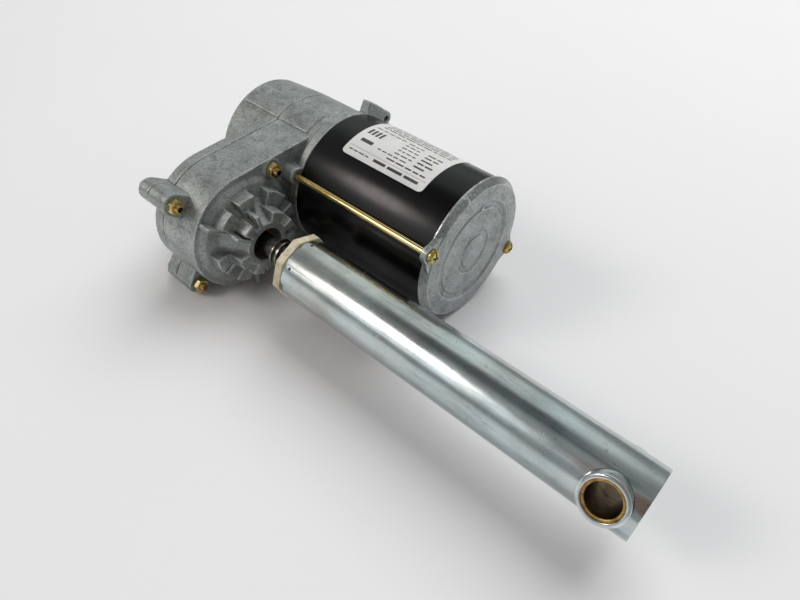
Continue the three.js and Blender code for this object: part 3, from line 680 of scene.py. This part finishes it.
def windings(name):
    s = Nodes(name)
    strands = s.noise(1, 3, 0.6, s.scaled(900, 500, 500))
    tone = s.ramp(strands, [(0.3, (0.14, 0.035, 0.012)), (0.5, (0.42, 0.13, 0.045)), (0.7, (0.60, 0.24, 0.09))])
    n = s.bump(strands, 0.6, 0.0003)
    r = s.math("MULTIPLY_ADD", s.noise(500, 3), 0.2, 0.25, clamp=True)
    return s.set(color=tone, metallic=0.6, roughness=r, normal=n, coat=0.4, coat_roughness=0.15)


M_CAST = cast_material("cast_aluminium")
# the end cap's lighter edges at full strength: partly worn bare metal, partly a painted highlight
M_CAP = cast_material("cast_end_cap", base=(0.36, 0.385, 0.38), bright=(0.80, 0.83, 0.82), rough=0.36, edge=1.0, metal=0.72)
M_TUBE = zinc_bright("zinc_plated_tube")
M_SLEEVE = zinc_bright("polished_sleeve", base=(0.74, 0.76, 0.75), rough=0.12)
M_YELLOW = yellow_zinc("yellow_zinc")
M_ROD = yellow_zinc("yellow_zinc_rod", scale=200, rough=0.06, grime_amount=0.3, vec=(0.22, 1, 1))
M_BRONZE = bronze("sintered_bronze")
M_BRONZE_DARK = bronze("oiled_bronze", 0.55)
# near-black bronze for the inside of the bushing bores: painted shade
M_BORE_SHADE = bronze("bore_painted_shade", 0.20)
M_SCREW = steel("greased_screw", base=(0.42, 0.40, 0.37), rough=0.26, grease=0.55)
M_STEEL = steel("plain_steel")
M_DARK = steel("dark_steel", base=(0.22, 0.22, 0.225), rough=0.42)
M_PIN = steel("pin_steel", base=(0.12, 0.11, 0.10), rough=0.5)
M_NYLON = plastic("nylon", (0.66, 0.60, 0.44), rough=0.42, sss=0.12, stain_and_shade=(0.30, 0.24, 0.13))
M_RUBBER = plastic("rubber", (0.018, 0.018, 0.019), rough=0.65, bump=0.2, spec=0.35)
M_GASKET = plastic("gasket_fibre", (0.10, 0.085, 0.065), var=0.35, rough=0.85, bump=0.5, spec=0.2)
M_FRICTION = plastic("friction_lining", (0.11, 0.085, 0.06), var=0.4, rough=0.85, bump=0.5, spec=0.2)
M_PHENOLIC = plastic("phenolic", (0.20, 0.10, 0.035), var=0.3, rough=0.5, bump=0.3)
M_ENAMEL = black_enamel("black_enamel")
M_LABEL = label_paper("label_film")
M_PRINT = plastic("label_ink", (0.055, 0.055, 0.058), var=0.3, rough=0.5, bump=0.05)
M_LAM = laminations("laminations")
M_COPPER = windings("copper_windings")
M_RED = plastic("red_paint_dot", (0.35, 0.03, 0.02), var=0.3, rough=0.5, bump=0.2)

SLOT_MATERIAL = {
    "cast": M_CAST, "yellow_zinc": M_YELLOW, "bronze": M_BRONZE, "gasket": M_GASKET, "rubber": M_RUBBER,
    "black_paint": M_ENAMEL, "label": M_LABEL, "lamination": M_LAM, "copper": M_COPPER, "friction": M_FRICTION,
    "dark_steel": M_DARK, "nylon": M_NYLON, "phenolic": M_PHENOLIC, "bright_steel": M_TUBE, "steel": M_STEEL,
}

# ---------------------------------------------------------------- castings


def casting(node, mat, voxel=0.5, rounds=5, adds=(), cuts=(), factor=0.5):
    """A die casting: the node's closed solid with cast detail added, its edges rounded by remeshing."""
    ob = bpy.data.objects.new("cast_" + node, NODES[node].data.copy())
    COL.objects.link(ob)
    if cuts:
        cut(ob, list(cuts))
    if adds:
        bm = bmesh.new()
        bm.from_mesh(ob.data)
        for a in adds:
            bm.from_mesh(a.data)
            bpy.data.objects.remove(a)
        bm.to_mesh(ob.data)
        bm.free()
    ob.data.materials.clear()
    m = ob.modifiers.new("voxel", "REMESH")
    m.mode = "VOXEL"
    m.voxel_size = voxel / 1000
    m.adaptivity = 0.0
    m = ob.modifiers.new("soften", "SMOOTH")
    m.factor = factor
    m.iterations = rounds
    bpy.context.view_layer.update()
    baked(ob)
    finish(ob, mat, BODY_OF[node], [node], angle=180)
    return ob


front = casting("front_housing", M_CAST, voxel=0.5, rounds=4)
rear = casting("rear_cover", M_CAST, voxel=0.5, rounds=4)
pips = [
    lathe("pip", filleted([(64.6, 0), (64.6, 1.5), (66.0, 1.1, 0.4), (66.1, 0)]), polar(30.4, 80, MY, 0), 32),
    lathe("pip", filleted([(64.6, 0), (64.6, 1.5), (66.0, 1.1, 0.4), (66.1, 0)]), polar(31.6, -146, MY, 0), 32),
    lathe("pip", filleted([(64.6, 0), (64.6, 1.3), (65.9, 0.9, 0.4), (66.0, 0)]), polar(30.4, -33, MY, 0), 32),
]
cap = casting("motor_end_cap", M_CAP, voxel=0.42, rounds=3, adds=pips)

# ---------------------------------------------------------------- tube, sleeve, nut
tube = lathe(
    "tube",
    filleted([(0, TUBE_IN, 0.3), (0, TUBE_R, 0.5), (TUBE_LEN, TUBE_R, 0.35), (TUBE_LEN, TUBE_IN, 0.3)]),
    segs=192,
)
hole = lathe("hole", [(-30, 0), (-30, 12.42), (30, 12.42), (30, 0)], segs=128, matrix=across(SLEEVE_X))
tools = [hole]
for a in (137, 77):
    tools.append(lathe("pin_hole", [(15, 0), (15, 0.95), (21, 0.95), (21, 0)], segs=32, matrix=across(4.4, a)))
cut(tube, tools)
finish(tube, M_TUBE, BODY_OF["drive_tube"], ["drive_tube"])



def paint_bore_shade(ob, x):
    """The bore of a cross bushing gets a near-black bronze: painted shade inside the bore."""
    ob.data.materials.append(M_BORE_SHADE)
    inv = (SHAPE @ across(x)).inverted()
    for f in ob.data.polygons:
        q = inv @ f.center
        if math.hypot(q.y, q.z) < 8.36:
            f.material_index = 1


sleeve = lathe(
    "sleeve",
    filleted([(-21.6, 9.85, 0.5), (-21.6, 12.3, 1.1), (21.6, 12.3, 1.1), (21.6, 9.85, 0.5)], 7),
    segs=160,
    matrix=across(SLEEVE_X),
)
finish(sleeve, M_SLEEVE, BODY_OF["end_sleeve"], ["end_sleeve"])
for i, s in ((1, 1), (2, -1)):
    b = lathe(
        "bushing_%d" % i,
        filleted([(s * 0.15, 8.3), (s * 0.15, 9.73), (s * 20.9, 9.73, 0.2), (s * 20.9, 8.3, 0.55)]),
        segs=128,
        matrix=across(SLEEVE_X),
    )
    finish(b, M_BRONZE, BODY_OF["end_bushing_%d" % i], ["end_bushing_%d" % i])
    paint_bore_shade(b, SLEEVE_X)
rb = lathe(
    "eye_bushing",
    filleted([(-12.1, 8.3, 0.5), (-12.1, 9.73, 0.2), (12.1, 9.73, 0.2), (12.1, 8.3, 0.5)]),
    segs=128,
    matrix=across(-110.5),
)
finish(rb, M_BRONZE, BODY_OF["rear_bushing"], ["rear_bushing"])
paint_bore_shade(rb, -110.5)

for i, a in ((1, 137), (2, 77)):
    pin = lathe(
        "pin_%d" % i,
        filleted([(13.3, 0), (13.3, 0.9), (18.75, 0.9, 0.25), (18.55, 0.35, 0.1), (18.55, 0)]),
        segs=32,
        matrix=across(4.4, a),
    )
    finish(pin, M_PIN, BODY_OF["nut_pin_%d" % i], ["nut_pin_%d" % i])


def plain_copy(node, name):
    ob = bpy.data.objects.new(name, NODES[node].data.copy())
    COL.objects.link(ob)
    ob.data.materials.clear()
    return ob


nut = plain_copy("drive_nut", "nut")
m = nut.modifiers.new("voxel", "REMESH")
m.mode = "VOXEL"
m.voxel_size = 0.00033
m = nut.modifiers.new("soften", "SMOOTH")
m.factor = 0.5
m.iterations = 3
bpy.context.view_layer.update()
baked(nut)
finish(nut, M_NYLON, BODY_OF["drive_nut"], ["drive_nut"], angle=180)

# ---------------------------------------------------------------- screw
core = lathe_data(
    filleted([
        (-97.6, 0), (-97.6, 4.9, 0.4), (-88.9, 4.9), (-88.9, 7.5, 0.4), (-58.5, 7.5, 0.4), (-58.5, 6.35), (-23.1, 6.35, 0.2),
        (-22.5, 7.3, 0.2), (-21.8, 6.95), (175.8, 6.95), (175.8, 6.0), (180, 6.0, 0.6), (180, 0),
    ]),
    96,
)
acme = thread_data(-22.4, 175.8, 9.4, 7.1, 25.4 / 6, segs=72, per=24, cone=1.0, hand=1, phase=-1.0)
screw = joined("screw", [core, acme])
finish(outward(screw), M_SCREW, BODY_OF["lead_screw"], ["lead_screw"], angle=28)

bb = lathe("boss_bushing", filleted([(-56.8, 6.45), (-56.8, 10.88, 0.2), (-43.5, 10.88, 0.3), (-43.5, 6.45, 0.5)]), segs=96)
finish(bb, M_BRONZE_DARK, BODY_OF["boss_bush"], ["boss_bush"])

# ---------------------------------------------------------------- motor shell and label
shell = lathe(
    "shell",
    filleted([(SHELL_X0, 44.9, 0.2), (SHELL_X0, 46.4, 0.5), (SHELL_X1, 46.4, 0.5), (SHELL_X1, 44.9, 0.2)]),
    (MY, 0),
    segs=256,
)
finish(shell, M_ENAMEL, BODY_OF["motor_shell"], ["motor_shell"])
label = outward(shaped("label", *patch_data(-25.5, 38.6, 52, 115.5, 46.44, 46.62, 3.0, (MY, 0))))
finish(label, M_LABEL, BODY_OF["rating_label"], ["rating_label"])

bars = []


def bar(x0, x1, a0, a1):
    bars.append(patch_data(x0, x1, a0, a1, 46.60, 46.645, 0.08, (MY, 0), rows=6, cols=2))


rng = np.random.default_rng(7)


def words(x0, x1, a, h, wmin, wmax, gap):
    """A row of word-sized bars; nothing here can be read."""
    x = x0
    while x < x1 - wmin:
        w = min(float(rng.uniform(wmin, wmax)), x1 - x)
        bar(x, x + w, a - h, a + h)
        x += w + gap


bar(-23.5, 37.0, 106.55, 106.8)
words(-2.0, 36.0, 110.2, 1.25, 6.0, 12.0, 1.6)
words(-22.0, -6.0, 110.2, 0.55, 2.5, 4.5, 1.0)
words(4.0, 36.0, 103.4, 0.7, 3.0, 7.0, 1.1)
words(-6.0, 18.0, 99.6, 0.55, 2.0, 5.0, 1.1)
for k in range(5):
    words(22.0, 33.5, 98.6 - 4.3 * k, 0.8, 4.0, 9.0, 1.1)
    words(5.0, 18.5, 95.6 - 4.3 * k, 0.6, 2.0, 5.0, 1.0)
bar(-20.5, -11.0, 96.5, 100.0)
for k in range(4):
    bar(-22.0 + 3.1 * k, -20.2 + 3.1 * k, 82.5, 90.0)
words(-22.0, 2.0, 78.0, 0.6, 2.0, 5.0, 1.0)
for k in range(4):
    words(-20.0, 34.0, 72.5 - 4.0 * k, 0.75, 3.0, 8.0, 1.2)
for k in range(28):
    bar(-18.0 + 1.55 * k, -18.0 + 1.55 * k + float(rng.uniform(0.3, 0.9)), 54.5, 57.5)
ink = joined("label_print", bars)
finish(outward(ink), M_PRINT, BODY_OF["rating_label"], (), angle=60)

# ---------------------------------------------------------------- fasteners
for i, (y, z, nx, turn, hx) in enumerate(CASE_BOLTS, 1):
    head = hex_data(hx - 3.65, hx - 0.05, 8.0, turn, 0.0, both=True)
    # the head's rounded side faces out, towards -X
    hv = [(2 * hx - 3.7 - vx, vy, vz) for vx, vy, vz in head[0]]
    shank = lathe_data([(hx - 1, 0), (hx - 1, 2.3), (nx + 2, 2.3), (nx + 2, 0)], 48)
    thr = thread_data(nx + 1.5, nx + 6.6, 2.3, 1.93, 0.79, segs=40, per=10, acme=False, cone=0.45)
    tipx = nx + 6.6
    tip = lathe_data([(nx + 1.4, 0), (nx + 1.4, 1.9), (tipx - 0.02, 1.86), (tipx, 1.7), (tipx, 0)], 40)
    bolt = joined("bolt_%d" % i, [moved(d, 0, y, z) for d in ((hv, head[1]), shank, thr, tip)])
    finish(outward(bolt), M_YELLOW, BODY_OF["case_bolt_%d" % i], ["case_bolt_%d" % i], angle=30)
    nd = hex_data(nx + 0.05, nx + 4.3, 8.8, turn, 2.35, both=True)
    hexnut = joined("hexnut_%d" % i, [moved(nd, 0, y, z)])
    finish(outward(hexnut), M_YELLOW, BODY_OF["case_nut_%d" % i], ["case_nut_%d" % i], angle=30)
y, z = CASE_BOLTS[1][:2]
dot = lathe("paint_dot", filleted([(-62.15, 0), (-62.15, 1.35), (-61.9, 1.2, 0.2), (-61.85, 0)]), (y, z), 32)
finish(dot, M_RED, BODY_OF["case_bolt_2"], ())


def pan_head(name, x, r, h, sign, y, z, turn, extra, mat, node, slot_len=1.9, slot_w=0.2):
    """Pan head with a slot and a cross recess; sign is the way it faces along X."""
    prof = [(x, 0), (x, r * 0.96), (x + sign * h * 0.12, r), (x + sign * h * 0.45, r, h * 0.3), (x + sign * h * 0.86, r * 0.74, h * 0.3), (x + sign * h, r * 0.3, h * 0.2), (x + sign * h, 0)]
    ob = lathe(name, filleted(prof, 6), (y, z), 96)
    tools = []
    for a, ln, w, dep in ((turn, r * 2.2, r * 0.2, h * 0.42), (turn, r * 1.15, r * 0.27, h * 0.75), (turn + 90, r * 1.15, r * 0.27, h * 0.75)):
        m = Matrix.Translation((0, y, z)) @ Matrix.Rotation(rad(a), 4, "X")
        x_in, x_out = x + sign * (h - dep), x + sign * (h + 1.0)
        t = solid_box("slot", min(x_in, x_out), max(x_in, x_out), -ln / 2, ln / 2, -w / 2, w / 2, m)
        tools.append(t)
    cut(ob, tools)
    if extra is not None:
        bm = bmesh.new()
        bm.from_mesh(ob.data)
        bm.from_mesh(extra.data)
        bm.to_mesh(ob.data)
        bm.free()
        bpy.data.objects.remove(extra)
    return finish(ob, mat, BODY_OF[node], [node], angle=30)


for i, a in ((1, PIN), (2, PIN - 180)):
    y, z = polar(THROUGH_R, a, MY, 0)
    rodob = lathe("rod", filleted([(-58, 0), (-58, 2.3, 0.3), (66.4, 2.3), (66.4, 0)]), (y, z), 64)
    lb = pan_head("long_bolt_%d" % i, 65.8, 4.5, 3.3, 1, y, z, 70, rodob, M_YELLOW, "through_bolt_%d" % i)
    lb.data.materials.append(M_ROD)
    edge = _tl.x + 0.0655
    for f in lb.data.polygons:
        if f.center.x < edge:
            f.material_index = 1
cov = lathe("cup_lid", filleted([(-123.2, 0), (-123.2, 41, 0.4), (-121.35, 41, 0.2), (-121.35, 0)]), (MY, 0), 192)
tools = []
for a in (30, 150, 270):
    y, z = polar(37, a, MY, 0)
    tools.append(lathe("lid_hole", [(-125, 0), (-125, 1.95), (-118, 1.95), (-118, 0)], (y, z), 40))
tools.append(lathe("lid_ring", filleted([(-123.6, 27), (-123.6, 28.2), (-122.8, 27.9), (-122.8, 27.3)]), (MY, 0), 128))
cut(cov, tools)
finish(cov, M_TUBE, BODY_OF["cup_cover"], ["cup_cover"])
for i, a in ((1, 30), (2, 150), (3, 270)):
    y, z = polar(37, a, MY, 0)
    body = lathe("screw_shank", [(-123.4, 0), (-123.4, 1.6), (-110, 1.6), (-110, 0)], (y, z), 40)
    pan_head("lid_screw_%d" % i, -123.25, 3.3, 1.75, -1, y, z, 20 * i, body, M_STEEL, "cup_screw_%d" % i)

# grommet: turned about Y
g = lathe_data(
    filleted([(38.4, 2.6, 0.5), (38.4, 7, 0.5), (39.6, 7, 0.4), (39.9, 5.05), (43.8, 5.05), (44, 7.2, 0.4), (46.4, 6.6, 0.9), (46.4, 2.6, 0.6)]),
    64,
)
gm = Matrix(((0, -1, 0, -107), (1, 0, 0, MY), (0, 0, 1, 0), (0, 0, 0, 1)))
grommet = outward(shaped("grommet", g[0], g[1], gm))
finish(grommet, M_RUBBER, BODY_OF["lead_grommet"], ["lead_grommet"])

# ---------------------------------------------------------------- pieces kept as the CAD has them
SPECIAL = {"boss_bush": M_BRONZE_DARK}
for name, ob in NODES.items():
    if ob.hide_render:
        continue
    ob.data.materials.clear()
    ob.data.materials.append(SPECIAL.get(name) or SLOT_MATERIAL.get(SLOT_OF.get(name), M_STEEL))
    for p in ob.data.polygons:
        p.use_smooth = True
    ob.data.set_sharp_from_angle(angle=rad(30))

# ---------------------------------------------------------------- stage, light, camera
fl = raw_mesh("floor", [(-3, -3, 0), (3, -3, 0), (3, 3, 0), (-3, 3, 0)], [(0, 1, 2, 3)])
floor = bpy.data.objects.new("floor", fl)
COL.objects.link(floor)
sf = Nodes("floor_paint")
tone = sf.ramp(sf.noise(1.5, 3, 0.5), [(0.3, (0.785, 0.79, 0.80)), (0.7, (0.815, 0.82, 0.825))])
sf.set(color=tone, roughness=0.7, specular=0.25)
fl.materials.append(sf.mat)

world = bpy.data.worlds.new("studio")
bpy.context.scene.world = world
world.use_nodes = True
wt = world.node_tree
wt.nodes.clear()
wo = wt.nodes.new("ShaderNodeOutputWorld")
bg = wt.nodes.new("ShaderNodeBackground")
wt.links.new(bg.outputs[0], wo.inputs[0])
tc = wt.nodes.new("ShaderNodeTexCoord")


def lobe(direction, inner, outer):
    """1 inside the inner angle round a direction, 0 outside the outer one."""
    d = Vector(direction).normalized()
    dot = wt.nodes.new("ShaderNodeVectorMath")
    dot.operation = "DOT_PRODUCT"
    wt.links.new(tc.outputs["Generated"], dot.inputs[0])
    dot.inputs[1].default_value = d
    mr = wt.nodes.new("ShaderNodeMapRange")
    mr.interpolation_type = "SMOOTHSTEP"
    mr.inputs["From Min"].default_value = math.cos(rad(outer))
    mr.inputs["From Max"].default_value = math.cos(rad(inner))
    wt.links.new(dot.outputs["Value"], mr.inputs["Value"])
    return mr.outputs["Result"]


def over(base, fac, colour):
    m = wt.nodes.new("ShaderNodeMix")
    m.data_type = "RGBA"
    wt.links.new(fac, m.inputs[0])
    if isinstance(base, tuple):
        m.inputs[6].default_value = (*base, 1)
    else:
        wt.links.new(base, m.inputs[6])
    m.inputs[7].default_value = (*colour, 1)
    return m.outputs[2]


sky = over((0.30, 0.31, 0.315), lobe((-0.42, -0.75, 0.50), 11, 20), (1.15, 1.16, 1.18))
sky = over(sky, lobe((-0.33, 0.62, 0.71), 16, 34), (0.72, 0.76, 0.75))
sky = over(sky, lobe((-0.25, -0.02, 0.96), 8, 22), (0.09, 0.095, 0.10))
sky = over(sky, lobe((0.30, -0.70, 0.64), 20, 29), (0.20, 0.125, 0.10))
sky = over(sky, lobe((-0.53, -0.60, 0.60), 5, 11), (9.5, 8.6, 8.2))
wt.links.new(sky, bg.inputs["Color"])
bg.inputs["Strength"].default_value = 1.0


def area(name, loc, target, size, size_y, power, colour=(1, 1, 1), glossy=True):
    d = bpy.data.lights.new(name, "AREA")
    d.shape = "RECTANGLE"
    d.size, d.size_y = size, size_y
    d.energy = power
    d.color = colour
    o = bpy.data.objects.new(name, d)
    COL.objects.link(o)
    o.location = loc
    o.rotation_euler = (Vector(target) - Vector(loc)).to_track_quat("-Z", "Y").to_euler()
    o.visible_glossy = glossy
    return o


area("overhead", (-0.05, 1.15, 2.0), (0, 0, 0), 2.1, 2.1, 38.5, (1.0, 1.0, 1.0), glossy=False)
area("side", (-0.9, -0.9, 0.9), (0, 0, 0), 0.9, 0.9, 2.0, (1.0, 0.99, 0.97), glossy=False)

cd = bpy.data.cameras.new("camera")
cam = bpy.data.objects.new("camera", cd)
COL.objects.link(cam)
cd.sensor_fit = "HORIZONTAL"
cd.sensor_width = 36.0
cd.lens = 36.0 * 628.115 / 800.0
cd.clip_start = 0.01
right = Vector((0.749312, 0.660186, 0.051820))
down = Vector((0.489789, -0.499842, -0.714328))
fwd = Vector((-0.445688, 0.560636, -0.697889))
m3 = Matrix((right, -down, -fwd)).transposed()
cam.matrix_world = Matrix.Translation((0.170574, -0.224994, 0.294690)) @ m3.to_4x4()
bpy.context.scene.camera = cam
bpy.context.scene.view_settings.view_transform = "Standard"
bpy.context.scene.view_settings.look = "None"
